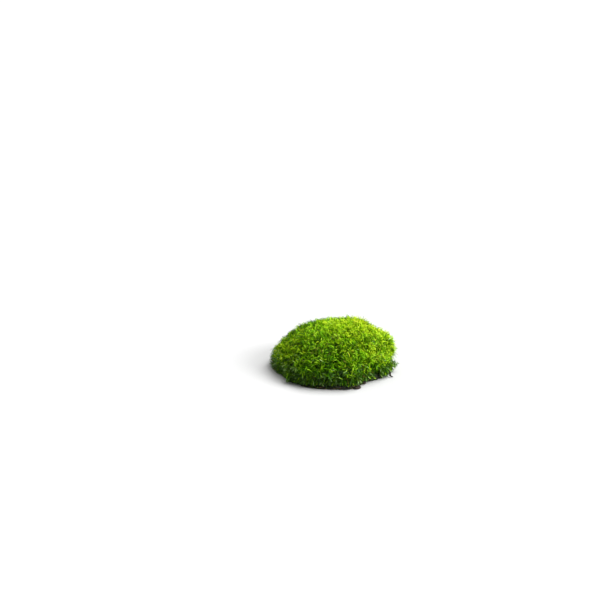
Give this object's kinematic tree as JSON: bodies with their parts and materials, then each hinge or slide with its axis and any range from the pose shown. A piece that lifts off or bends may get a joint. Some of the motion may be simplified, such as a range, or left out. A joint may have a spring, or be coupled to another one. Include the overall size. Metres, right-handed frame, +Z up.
{
  "type": "moss clump",
  "caption": "Dome-shaped clump of green cushion moss on a brown mat of dead stems and humus, cut off flat underneath, with crumbs of bark and a dead twig caught at its foot.",
  "frame": {"origin": "on the surface that the clump rests on, under the middle of its bounding box", "axes": "+X to the right along the clump's widest way, +Y away from the viewer, +Z up"},
  "size_m": [0.1198, 0.1154, 0.0437],
  "materials": {
    "moss": "matte",
    "humus": "matte",
    "bark": "matte",
    "dead_wood": "matte"
  },
  "bodies": {
    "root": {"moss_cushion": "moss", "root_mat": "humus", "bark_chip": "bark", "bark_crumb": "bark", "hooked_twig": "dead_wood"}
  },
  "joints": []
}
